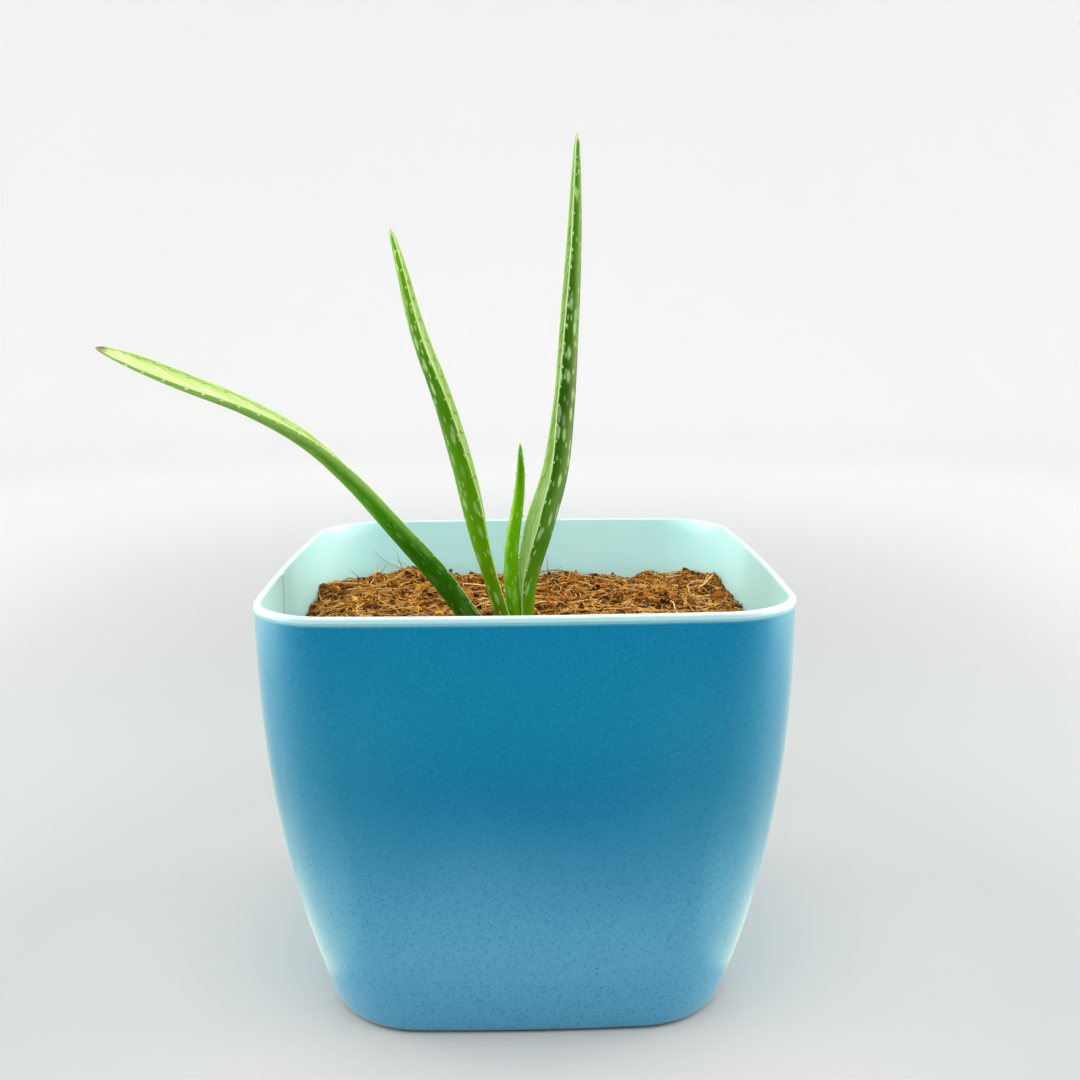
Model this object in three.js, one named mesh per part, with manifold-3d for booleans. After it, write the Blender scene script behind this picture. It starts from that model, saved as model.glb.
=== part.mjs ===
// A young aloe vera in a square plastic planter filled with coir.
// Millimetres, +Z up. The origin is the middle of the planter's base, on the surface
// that it stands on. -Y is the front, and the leaves fan out from left to right.
import * as THREE from "three";
import { mergeVertices } from "three/addons/utils/BufferGeometryUtils.js";
import Module from "manifold-3d";

const wasm = await Module();
wasm.setup();

// Planter
const RIM_WIDTH = 200; // across the lip, middle of one side to middle of the other
const POT_HEIGHT = 170;
const BASE_WIDTH = 157.3; // just above the bottom edge
const LIP_PROUD = 0.2; // how far the lip stands out of the wall below it
const LIP_HEIGHT = 2.4;
const WALL = 2.3;
const FLOOR = 3;
const BASE_CORNER = 31.4; // corner radii of the square outline
const RIM_CORNER = 27;
const SIDE_BOW = 3; // how far the middle of a side bulges out of straight
const LOW_FULLNESS = 94.6; // half-widths that pull the side's curve out a third and
const HIGH_FULLNESS = 101.1; // two thirds of the way up
const EDGE_ROUND = 3.5; // round of the bottom edge
const LIP_ROUND = 0.8;
const LIP_UNDERCUT = 0.35; // height over which the lip steps out of the wall
const LIP_INNER = 0.4; // round of the lip's inner edge
const FOOT_WIDTH = 11; // flat ring that the planter stands on, with a flat pad in the middle
const PAD_RADIUS = 17;
const RECESS = 1.5;
const DRAIN_RADIUS = 4.5;
const DRAIN_RING = 46; // drain holes from the middle

// Coir
const GAP = 0.3; // between neighbouring solids
const SOIL_LEVEL = 142.1;
const RELIEF_STEP = 7.2;
const CORNER_START = 66; // from the middle to where the soil's round corners start
const CORNER_REACH = 28; // from there to the wall
const PLANT_CLEAR = 24; // bare round the plant
const CHIP_COUNT = 34;
const FIBRE_COUNT = 22;

// Plant
const PLANT_X = -4;
const PLANT_Y = -12;
const STEM_RADIUS = 8.5;
const STEM_TOP = -5; // heights of the plant are from the level of the soil
const STEM_FOOT = -34;
const ROOT_COUNT = 6;
const ROOT_RADIUS = 1.9;
const TOOTH_SPACING = 9.4;
const TOOTH_LENGTH = 1.5;
const TOOTH_RADIUS = 0.7;
const TOOTH_SUNK = 1.1;
const FIRST_TOOTH = 26; // from the leaf's root
const HOLE_REACH = 30; // length of a leaf's hole in the soil and the stem

// Leaves from left to right. Heights start at the soil, and a route runs from the root to
// the tip through the middle of the leaf. `neck` is the share of the width that the leaf has
// at its foot, and `swell` the shares of the length between which it gets its full width.
// `folds` holds how deep the section is over its width, and `face` the ways that the channel
// looks, both at even steps from the root to the tip. A higher `tipPower` keeps the width
// for longer, and a higher `tipSharpness` makes a more pointed tip.
const LEAVES = [
  {
    name: "leaf_left",
    width: 12.5,
    folds: [0.5, 0.5, 0.47, 0.33, 0.36],
    tipPower: 9,
    tipSharpness: 0.62,
    neck: 1.02,
    swell: [0.05, 0.3],
    route: [
      [-7.5, -2.5, -10.4],
      [-12.9, -4.6, -1.7],
      [-20.3, -8, 8.5],
      [-29.7, -11.8, 22.9],
      [-47.5, -18.4, 46.5],
      [-64.3, -25, 68.2],
      [-78.6, -30.4, 82.4],
      [-96.9, -37.3, 94.6],
      [-120.6, -46.4, 106.1],
      [-145.4, -56, 118.5],
    ],
    face: [
      [0.78, 0.34, 0.53],
      [0.67, 0.53, 0.52],
      [0.63, 0.18, 0.76],
      [0.41, -0.19, 0.89],
      [0.22, -0.62, 0.75],
    ],
  },
  {
    name: "leaf_middle",
    width: 13.8,
    folds: [0.66, 0.62, 0.57, 0.47, 0.44],
    tipPower: 3,
    tipSharpness: 0.5,
    neck: 0.62,
    swell: [0.18, 0.4],
    route: [
      [-4.3, -2.4, -10.6],
      [-4.5, -2.9, 0.4],
      [-8.1, -4.7, 15.8],
      [-13.3, -8, 36.1],
      [-19.6, -11.3, 65.9],
      [-27.3, -15.7, 95.1],
      [-36.1, -20.7, 122.4],
      [-42, -24.6, 149.1],
      [-44.8, -26.1, 160.7],
    ],
    face: [
      [0.97, 0.22, 0],
      [1, 0.07, 0],
      [0.99, -0.06, 0.1],
      [0.98, -0.16, 0.1],
      [0.98, -0.14, 0.1],
    ],
  },
  {
    name: "leaf_small",
    width: 6.5,
    folds: [0.42, 0.4],
    tipPower: 2.4,
    tipSharpness: 0.5,
    neck: 0.62,
    swell: [0.02, 0.33],
    route: [
      [0, 0, -10.1],
      [-0.4, 0, 5.3],
      [-1.6, 0, 17.2],
      [-1.8, 0, 29.6],
      [-0.8, 0, 40],
      [1.2, 0, 51.9],
      [2.6, 0, 64.8],
      [2.7, 0, 77.7],
    ],
    face: [
      [0.25, 0.95, 0],
      [0.3, 0.95, 0],
      [0.3, 0.95, 0],
    ],
  },
  {
    name: "leaf_right",
    width: 15.8,
    folds: [0.7, 0.66, 0.62, 0.61, 0.57],
    tipPower: 1.5,
    tipSharpness: 0.5,
    neck: 0.48,
    swell: [0.02, 0.28],
    route: [
      [4.3, 2.6, -10.6],
      [4.9, 2.8, 0.3],
      [5.4, 3.9, 18.6],
      [11.8, 8.2, 42.9],
      [18, 12.8, 63.7],
      [21.5, 15.7, 89.5],
      [24, 17.8, 121.9],
      [26.4, 19.6, 160.5],
      [27.4, 20.4, 201.6],
    ],
    face: [
      [-0.99, -0.15, 0],
      [-0.92, -0.39, 0],
      [-0.99, -0.1, 0],
      [-0.98, -0.21, 0],
      [-0.97, -0.24, 0],
    ],
  },
];
const STATIONS = 26;
const BACK_STEPS = 6;
const FACE_STEPS = 4;
const FLESH = 0.42; // thickness of the leaf over the depth of its section
const MARGIN = 0.75; // thickness of the leaf's edge

// Seeded random numbers between 0 and 1
function randomFrom(seed) {
  let state = seed;
  return () => {
    state = (state * 1664525 + 1013904223) % 4294967296;
    return state / 4294967296;
  };
}

const mix = THREE.MathUtils.lerp;

function material(color, roughness, metalness = 0) {
  return new THREE.MeshStandardMaterial({ color, roughness, metalness });
}

// Closed mesh to solid and back
function solid(geometry) {
  const bare = geometry.clone();
  bare.deleteAttribute("normal");
  bare.deleteAttribute("uv");
  const merged = mergeVertices(bare, 1e-4);
  const vertProperties = new Float32Array(merged.attributes.position.array);
  const triVerts = new Uint32Array(merged.index.array);
  return new wasm.Manifold(new wasm.Mesh({ numProp: 3, vertProperties, triVerts }));
}

// Drops the loose crumbs that a cut leaves
function largest(body) {
  return body.decompose().reduce((a, b) => (a.volume() > b.volume() ? a : b));
}

function meshOf(name, body, look) {
  const { vertProperties, triVerts } = body.getMesh();
  const geometry = new THREE.BufferGeometry();
  geometry.setAttribute("position", new THREE.BufferAttribute(vertProperties, 3));
  geometry.setIndex(new THREE.BufferAttribute(triVerts, 1));
  geometry.computeVertexNormals();
  const mesh = new THREE.Mesh(geometry, look);
  mesh.name = name;
  return mesh;
}

// Skin over a row of rings with equal numbers of points. The rings turn anticlockwise about
// the way the row runs. A fan to a middle point closes each end.
function skin(rings, firstMiddle, lastMiddle) {
  const count = rings[0].length;
  const points = [...rings.flat(), firstMiddle, lastMiddle];
  const first = points.length - 2;
  const last = points.length - 1;
  const index = [];
  for (let r = 0; r + 1 < rings.length; r++) {
    for (let i = 0; i < count; i++) {
      const a = r * count + i;
      const b = r * count + ((i + 1) % count);
      index.push(a, b, b + count, a, b + count, a + count);
    }
  }
  const top = (rings.length - 1) * count;
  for (let i = 0; i < count; i++) {
    const next = (i + 1) % count;
    index.push(first, next, i, last, top + i, top + next);
  }
  const geometry = new THREE.BufferGeometry().setFromPoints(points);
  geometry.setIndex(index);
  return geometry;
}

// Square with round corners and slightly bowed sides, anticlockwise, at height z
const CORNER_STEPS = 6;
const SIDE_STEPS = 4;
function squareRing(half, corner, z) {
  const straight = half - SIDE_BOW;
  const reach = straight - corner;
  const outline = [];
  for (let quarter = 0; quarter < 4; quarter++) {
    const turn = (quarter * Math.PI) / 2;
    for (let i = 0; i < SIDE_STEPS; i++) {
      const along = mix(-reach, reach, i / SIDE_STEPS);
      outline.push(new THREE.Vector2(straight, along).rotateAround(new THREE.Vector2(), turn));
    }
    for (let i = 0; i < CORNER_STEPS; i++) {
      const a = ((i / CORNER_STEPS) * Math.PI) / 2;
      const point = new THREE.Vector2(reach + corner * Math.cos(a), reach + corner * Math.sin(a));
      outline.push(point.rotateAround(new THREE.Vector2(), turn));
    }
  }
  return outline.map(({ x, y }) => {
    const bowX = (SIDE_BOW * x * (1 - (y / straight) ** 2)) / straight;
    const bowY = (SIDE_BOW * y * (1 - (x / straight) ** 2)) / straight;
    return new THREE.Vector3(x + bowX, y + bowY, z);
  });
}

// Half-width and corner radius of the planter's outside wall at height z
function wallHalf(z) {
  const t = z / POT_HEIGHT;
  const u = 1 - t;
  const top = RIM_WIDTH / 2 - LIP_PROUD;
  const low = 3 * u * u * t * LOW_FULLNESS;
  const high = 3 * u * t * t * HIGH_FULLNESS;
  return (u ** 3 * BASE_WIDTH) / 2 + low + high + t ** 3 * top;
}

function cornerAt(z) {
  return mix(BASE_CORNER, RIM_CORNER, z / POT_HEIGHT);
}

function wallRing(z, inset) {
  return squareRing(wallHalf(z) - inset, cornerAt(z) - inset * 0.6, z);
}

// Planter: up the outside, over the lip and down the inside
function buildPot() {
  const rings = [];
  const footInner = BASE_WIDTH / 2 - EDGE_ROUND - FOOT_WIDTH;
  rings.push(squareRing(footInner - RECESS, BASE_CORNER - EDGE_ROUND - FOOT_WIDTH, RECESS));
  rings.push(squareRing(footInner, BASE_CORNER - EDGE_ROUND - FOOT_WIDTH, 0));
  for (const a of [0, 0.4, 0.75, 1.1, 1.45]) {
    const inset = EDGE_ROUND * (1 - Math.sin(a));
    rings.push(wallRing(EDGE_ROUND * (1 - Math.cos(a)), inset));
  }
  const lipFoot = POT_HEIGHT - LIP_HEIGHT;
  for (const t of [0.07, 0.16, 0.26, 0.36, 0.47, 0.59, 0.72, 0.86, 1]) {
    rings.push(wallRing(lipFoot * t, 0));
  }
  const half = RIM_WIDTH / 2;
  rings.push(squareRing(half, RIM_CORNER, lipFoot + LIP_UNDERCUT));
  rings.push(squareRing(half, RIM_CORNER, POT_HEIGHT - LIP_ROUND));
  rings.push(squareRing(half - LIP_ROUND, RIM_CORNER - LIP_ROUND, POT_HEIGHT));
  const inside = LIP_PROUD + WALL;
  rings.push(squareRing(half - inside + LIP_INNER, RIM_CORNER - inside, POT_HEIGHT));
  for (const t of [0.994, 0.83, 0.69, 0.55, 0.42, 0.3, 0.19, 0.1]) {
    rings.push(wallRing(POT_HEIGHT * t, WALL));
  }
  rings.push(wallRing(FLOOR + 4, WALL + 0.6));
  rings.push(wallRing(FLOOR, WALL + 4));
  const bottom = new THREE.Vector3(0, 0, RECESS);
  let pot = solid(skin(rings, bottom, new THREE.Vector3(0, 0, FLOOR)));
  pot = pot.add(solid(upright(PAD_RADIUS, 0, RECESS + 0.5, 28)));
  for (const [x, y] of [[1, 0], [0, 1], [-1, 0], [0, -1]]) {
    const hole = upright(DRAIN_RADIUS, -1, FLOOR + 1, 16);
    pot = pot.subtract(solid(hole.translate(x * DRAIN_RING, y * DRAIN_RING, 0)));
  }
  return pot;
}

function upright(radius, low, high, sides) {
  const geometry = new THREE.CylinderGeometry(radius, radius, high - low, sides);
  return geometry.rotateX(Math.PI / 2).translate(0, 0, (low + high) / 2);
}

// The two neighbours of t in an evenly spaced list, and how far t is from one to the other
function between(values, t) {
  const stretch = Math.min(values.length - 2, Math.floor(t * (values.length - 1)));
  return [values[stretch], values[stretch + 1], t * (values.length - 1) - stretch];
}

// A leaf's middle line, and the way its channel looks, at a share t of its length
function leafFrame(leaf, curve, t) {
  const at = curve.getPointAt(t);
  const along = curve.getTangentAt(t);
  const [from, to, share] = between(leaf.face, t);
  const look = new THREE.Vector3(...from).lerp(new THREE.Vector3(...to), share);
  look.addScaledVector(along, -look.dot(along)).normalize();
  const across = new THREE.Vector3().crossVectors(look, along);
  const neck = mix(leaf.neck, 1, THREE.MathUtils.smoothstep(t, ...leaf.swell));
  const width = leaf.width * neck * (1 - t ** leaf.tipPower) ** leaf.tipSharpness;
  return { at, along, look, across, width, depth: width * mix(...between(leaf.folds, t)) };
}

// Section of a leaf: its round back, then its channel. Without the channel it is a plain D,
// grown by the gap, for the hole that the leaf stands in.
function leafRing(frame, grow, channel) {
  const half = frame.width / 2 + grow;
  const deep = frame.depth + 2 * grow;
  const ring = [];
  for (let i = 0; i <= BACK_STEPS; i++) {
    const a = Math.PI * (1 + i / BACK_STEPS);
    ring.push([half * Math.cos(a), deep * Math.sin(a)]);
  }
  const hollow = deep - Math.max(deep * FLESH, Math.min(1.6, deep * 0.8));
  const edge = Math.min(MARGIN, half * 0.5);
  for (let i = 0; channel && i <= FACE_STEPS; i++) {
    const a = Math.PI * (2 - i / FACE_STEPS);
    ring.push([(half - edge) * Math.cos(a), hollow * Math.sin(a)]);
  }
  const lift = deep / 2;
  return ring.map(([x, y]) =>
    frame.at.clone().addScaledVector(frame.across, x).addScaledVector(frame.look, y + lift));
}

function leafTooth(frame, side, size) {
  const length = TOOTH_LENGTH * size + TOOTH_SUNK;
  const cone = new THREE.ConeGeometry(TOOTH_RADIUS * mix(size, 1, 0.4), length, 3);
  const way = frame.across.clone().multiplyScalar(side);
  way.addScaledVector(frame.along, 0.4).addScaledVector(frame.look, 0.25).normalize();
  const turn = new THREE.Quaternion().setFromUnitVectors(new THREE.Vector3(0, 1, 0), way);
  const at = frame.at.clone().addScaledVector(frame.across, (side * frame.width) / 2);
  at.addScaledVector(frame.look, frame.depth / 2 - 0.35);
  at.addScaledVector(way, length / 2 - TOOTH_SUNK);
  return solid(cone.applyQuaternion(turn).translate(at.x, at.y, at.z));
}

function buildLeaf(leaf) {
  const curve = new THREE.CatmullRomCurve3(leaf.route.map((p) => new THREE.Vector3(...p)));
  const rings = [];
  for (let i = 0; i < STATIONS; i++) {
    const t = 1 - (1 - i / STATIONS) ** 1.45;
    rings.push(leafRing(leafFrame(leaf, curve, t), 0, true));
  }
  const foot = leafFrame(leaf, curve, 0);
  const footMiddle = foot.at.clone().addScaledVector(foot.look, -foot.depth * (0.5 - FLESH / 2));
  let body = solid(skin(rings, footMiddle, curve.getPointAt(1)));
  const length = curve.getLength();
  const random = randomFrom(leaf.name.length * 977);
  for (const side of [-1, 1]) {
    let s = FIRST_TOOTH + random() * TOOTH_SPACING;
    while (s < length - 4) {
      const frame = leafFrame(leaf, curve, s / length);
      const size = mix(0.45, 1, Math.min(1, frame.width / 10)) * mix(0.85, 1.15, random());
      body = body.add(leafTooth(frame, side, size));
      s += TOOTH_SPACING * mix(0.8, 1.2, random()) * mix(1, 0.7, s / length);
    }
  }
  return body;
}

// Room that a leaf needs in the soil and in the stem's top
function leafHole(leaf) {
  const curve = new THREE.CatmullRomCurve3(leaf.route.map((p) => new THREE.Vector3(...p)));
  const rings = [];
  const reach = HOLE_REACH / curve.getLength();
  for (let i = 0; i <= 6; i++) {
    rings.push(leafRing(leafFrame(leaf, curve, (reach * i) / 6), GAP + 0.15, false));
  }
  const below = leafFrame(leaf, curve, 0);
  const drop = below.along.clone().multiplyScalar(-2 * GAP);
  rings.unshift(rings[0].map((p) => p.clone().add(drop)));
  const middle = (ring) => {
    const sum = ring.reduce((a, p) => a.add(p), new THREE.Vector3());
    return sum.divideScalar(ring.length);
  };
  return solid(skin(rings, middle(rings[0]), middle(rings[rings.length - 1])));
}

// Round tube along a curve, thinner towards its far end
function taperTube(curve, nearRadius, farRadius, sides, steps) {
  const rings = [];
  const up = new THREE.Vector3(0, 0, 1);
  for (let i = 0; i <= steps; i++) {
    const along = curve.getTangentAt(i / steps);
    const across = new THREE.Vector3().crossVectors(up, along).normalize();
    const over = new THREE.Vector3().crossVectors(along, across);
    const at = curve.getPointAt(i / steps);
    const radius = mix(nearRadius, farRadius, i / steps);
    const ring = [];
    for (let k = 0; k < sides; k++) {
      const a = (k / sides) * 2 * Math.PI + Math.PI / 2;
      const point = at.clone().addScaledVector(across, radius * Math.cos(a));
      ring.push(point.addScaledVector(over, radius * Math.sin(a)));
    }
    rings.push(ring);
  }
  return solid(skin(rings, curve.getPointAt(0), curve.getPointAt(1)));
}

// Short stem and main roots. The hole in the soil is the same shape, grown by the gap.
function buildStem(grow) {
  const radius = STEM_RADIUS + grow;
  const profile = [
    [0, STEM_FOOT - grow],
    [radius * 0.55, STEM_FOOT - grow],
    [radius * 0.8, STEM_FOOT + 7],
    [radius, STEM_FOOT + 17],
    [radius, STEM_TOP - 6],
    [radius * 0.8, STEM_TOP - 1.5 + grow],
    [radius * 0.35, STEM_TOP + grow],
    [0, STEM_TOP + grow],
  ];
  const lathe = new THREE.LatheGeometry(profile.map((p) => new THREE.Vector2(...p)), 16);
  let stem = solid(lathe.rotateX(Math.PI / 2));
  const random = randomFrom(51);
  for (let i = 0; i < ROOT_COUNT; i++) {
    const turn = ((i + 0.6 * random()) / ROOT_COUNT) * 2 * Math.PI;
    const out = mix(42, 62, random());
    const down = mix(-62, -92, random());
    const start = mix(-30, -19, random());
    const route = [0, 0.2, 0.5, 1].map((u) => {
      const bend = turn + 0.5 * u * (random() - 0.5);
      const drop = mix(start, down, u ** 1.6);
      return new THREE.Vector3(out * u * Math.cos(bend), out * u * Math.sin(bend), drop);
    });
    const curve = new THREE.CatmullRomCurve3(route);
    stem = stem.add(taperTube(curve, ROOT_RADIUS + grow, 0.8 + grow, 5, 6));
  }
  return stem;
}

// Height of the coir at a place: slow hollows and humps, calmer round the plant
function coirHeight(x, y, lump = 0) {
  const slow = 1.6 * Math.sin(x / 29 + 0.5) * Math.cos(y / 25) + 1.1 * Math.sin(x / 12 + y / 15);
  const nearPlant = Math.hypot(x - PLANT_X, y - PLANT_Y);
  const calm = THREE.MathUtils.smoothstep(nearPlant, 8, 30);
  return SOIL_LEVEL + calm * (slow + lump);
}

function coirRelief() {
  const random = randomFrom(7);
  const reach = RIM_WIDTH / 2;
  const count = Math.round((2 * reach) / RELIEF_STEP);
  const rows = [];
  for (let j = 0; j <= count; j++) {
    const y = mix(-reach, reach, j / count);
    const row = [];
    for (let i = 0; i <= count; i++) {
      const shift = j % 2 ? 0.5 : 0;
      const inside = i > 0 && i < count;
      const x = mix(-reach, reach, (i + (inside ? shift : 0)) / count);
      row.push(new THREE.Vector3(x, y, coirHeight(x, y, 2.2 * (random() - 0.5))));
    }
    rows.push(row);
  }
  return heightBlock(rows);
}

// Closed block under a grid of points, down to a flat bottom
function heightBlock(rows) {
  const low = FLOOR - 10;
  const wide = rows[0].length;
  const points = rows.flat();
  const index = [];
  const at = (i, j) => j * wide + i;
  for (let j = 0; j + 1 < rows.length; j++) {
    for (let i = 0; i + 1 < wide; i++) {
      const [a, b, c, d] = [at(i, j), at(i + 1, j), at(i + 1, j + 1), at(i, j + 1)];
      if (j % 2) index.push(a, b, c, a, c, d);
      else index.push(a, b, d, b, c, d);
    }
  }
  const edge = [];
  for (let i = 0; i < wide - 1; i++) edge.push(at(i, 0));
  for (let j = 0; j < rows.length - 1; j++) edge.push(at(wide - 1, j));
  for (let i = wide - 1; i > 0; i--) edge.push(at(i, rows.length - 1));
  for (let j = rows.length - 1; j > 0; j--) edge.push(at(0, j));
  const base = points.length;
  for (const k of edge) points.push(new THREE.Vector3(points[k].x, points[k].y, low));
  const middle = points.push(new THREE.Vector3(0, 0, low)) - 1;
  for (let k = 0; k < edge.length; k++) {
    const next = (k + 1) % edge.length;
    index.push(edge[k], base + k, base + next, edge[k], base + next, edge[next]);
    index.push(base + k, middle, base + next);
  }
  const geometry = new THREE.BufferGeometry().setFromPoints(points);
  geometry.setIndex(index);
  return solid(geometry);
}

// Random place on the coir, clear of the wall and of the plant
function coirPlace(random, margin) {
  const reach = wallHalf(SOIL_LEVEL) - WALL - margin;
  const past = (d) => Math.max(0, Math.abs(d) - CORNER_START);
  for (;;) {
    const x = mix(-reach, reach, random());
    const y = mix(-reach, reach, random());
    const corner = Math.hypot(past(x), past(y));
    const plant = Math.hypot(x - PLANT_X, y - PLANT_Y);
    if (corner < CORNER_REACH - margin && plant > PLANT_CLEAR + margin) return [x, y];
  }
}

function coirChip(random) {
  const [x, y] = coirPlace(random, 5);
  const size = [mix(3.5, 8, random()), mix(2.2, 4.5, random()), mix(2.6, 4.2, random())];
  const chip = new THREE.BoxGeometry(...size);
  chip.rotateX(mix(-0.5, 0.5, random()));
  chip.rotateY(mix(-0.5, 0.5, random()));
  chip.rotateZ(random() * Math.PI);
  return solid(chip.translate(x, y, coirHeight(x, y) + mix(-0.4, 0.7, random())));
}

function coirFibre(random) {
  const length = mix(14, 34, random());
  const [x, y] = coirPlace(random, length / 2 + 1);
  const turn = random() * 2 * Math.PI;
  const sweep = mix(-1.2, 1.2, random());
  const arch = mix(3.6, 6.2, random());
  const route = [];
  for (let i = 0; i <= 4; i++) {
    const u = i / 4 - 0.5;
    const way = turn + sweep * u;
    const rise = arch * (1 - 4 * u * u) - 2.6;
    const [px, py] = [x + length * u * Math.cos(way), y + length * u * Math.sin(way)];
    route.push(new THREE.Vector3(px, py, coirHeight(px, py) + rise));
  }
  return taperTube(new THREE.CatmullRomCurve3(route), 0.55, 0.55, 3, 5);
}

function buildSoil(holes) {
  const rings = [wallRing(FLOOR + GAP, WALL + 4.4 + GAP), wallRing(FLOOR + 4, WALL + 1 + GAP)];
  for (const t of [0.1, 0.19, 0.3, 0.42, 0.55, 0.69, 0.83, 0.95]) {
    rings.push(wallRing(POT_HEIGHT * t, WALL + GAP));
  }
  const foot = new THREE.Vector3(0, 0, FLOOR + GAP);
  const fill = solid(skin(rings, foot, new THREE.Vector3(0, 0, POT_HEIGHT * 0.95)));
  let soil = fill.intersect(coirRelief());
  const random = randomFrom(23);
  for (let i = 0; i < CHIP_COUNT; i++) soil = soil.add(coirChip(random));
  for (let i = 0; i < FIBRE_COUNT; i++) soil = soil.add(coirFibre(random));
  return largest(soil.subtract(holes.translate([PLANT_X, PLANT_Y, SOIL_LEVEL])));
}

const leafRoom = LEAVES.map(leafHole).reduce((all, hole) => all.add(hole));
const plastic = material("#1f86ab", 0.5);
const flesh = material("#3f8a1c", 0.45);
const bark = material("#b9a678", 0.8);
const coir = material("#a9702f", 0.95);

const part = new THREE.Group();
part.add(meshOf("pot", buildPot(), plastic));
part.add(meshOf("soil", buildSoil(buildStem(GAP + 0.1).add(leafRoom)), coir));

const plant = new THREE.Group();
plant.position.set(PLANT_X, PLANT_Y, SOIL_LEVEL);
plant.add(meshOf("stem", buildStem(0).subtract(leafRoom), bark));
for (const leaf of LEAVES) plant.add(meshOf(leaf.name, buildLeaf(leaf), flesh.clone()));
part.add(plant);

export default part;
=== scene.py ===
# A young aloe vera in a square plastic planter filled with coir: fine surfaces, finishes and
# a plain studio. Lengths are in millimetres until a mesh is made, and the frame is the part's.
import math

import bpy
import numpy as np
from mathutils import Matrix, Vector


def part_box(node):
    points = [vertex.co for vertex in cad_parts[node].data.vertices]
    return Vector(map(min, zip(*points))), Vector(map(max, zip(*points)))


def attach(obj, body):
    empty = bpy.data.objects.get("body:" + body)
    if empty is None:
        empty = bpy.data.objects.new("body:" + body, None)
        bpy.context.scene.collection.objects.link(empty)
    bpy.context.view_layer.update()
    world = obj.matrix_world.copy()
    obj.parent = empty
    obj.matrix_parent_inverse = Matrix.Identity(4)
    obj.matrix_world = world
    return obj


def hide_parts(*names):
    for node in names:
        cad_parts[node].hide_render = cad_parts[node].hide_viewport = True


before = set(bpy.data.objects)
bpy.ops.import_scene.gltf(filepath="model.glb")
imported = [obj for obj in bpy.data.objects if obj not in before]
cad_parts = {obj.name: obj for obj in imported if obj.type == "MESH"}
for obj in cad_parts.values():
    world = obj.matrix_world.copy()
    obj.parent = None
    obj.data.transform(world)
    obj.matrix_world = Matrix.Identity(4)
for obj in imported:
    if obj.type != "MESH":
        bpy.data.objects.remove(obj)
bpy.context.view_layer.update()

MM = 0.001

# Camera
PHOTO_SIZE = 1080  # pixels each way
FOCAL_PIXELS = 1165
SENSOR = 36
CAMERA_AT = (-2.2, -483.2, 268.2)
LOOK_DOWN = 0.185  # radians
LOOK_RIGHT = 0.0184
CAMERA_ROLL = -0.008

# Planter
RIM_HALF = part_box("pot")[1].x / MM
POT_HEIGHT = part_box("pot")[1].z / MM
BASE_HALF = 78.65
LIP_PROUD = 0.2
LIP_HEIGHT = 2.4
WALL = 2.3
FLOOR = 3
BASE_CORNER = 31.4
RIM_CORNER = 27
SIDE_BOW = 3
LOW_FULLNESS = 94.6
HIGH_FULLNESS = 101.1
EDGE_ROUND = 3.5
LIP_ROUND = 0.8
FOOT_WIDTH = 11
PAD_RADIUS = 17
RECESS = 1.5
DRAIN_RADIUS = 4.5
DRAIN_RING = 46
FLAW_Y = -23.5  # moulding flaw in the left wall
FLAW_WIDTH = 2.2
FLAW_DEPTH = 26

# Plant and coir
PLANT = np.array([-4.0, -12.0, 142.1])
SOIL_LEVEL = PLANT[2]
GAP = 0.3
TOOTH_SPACING = 9.4
TOOTH_LENGTH = 1.5
TOOTH_RADIUS = 0.7
TOOTH_SUNK = 1.1
FIRST_TOOTH = 26
FLESH = 0.42
MARGIN = 0.75
CRUMB_COUNT = 8000
CLOD_COUNT = 1100
GRAIN_COUNT = 20000
CHIP_COUNT = 520
FIBRE_COUNT = 2400
HAIR_COUNT = 3000
COIR_SEED = 5

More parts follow.
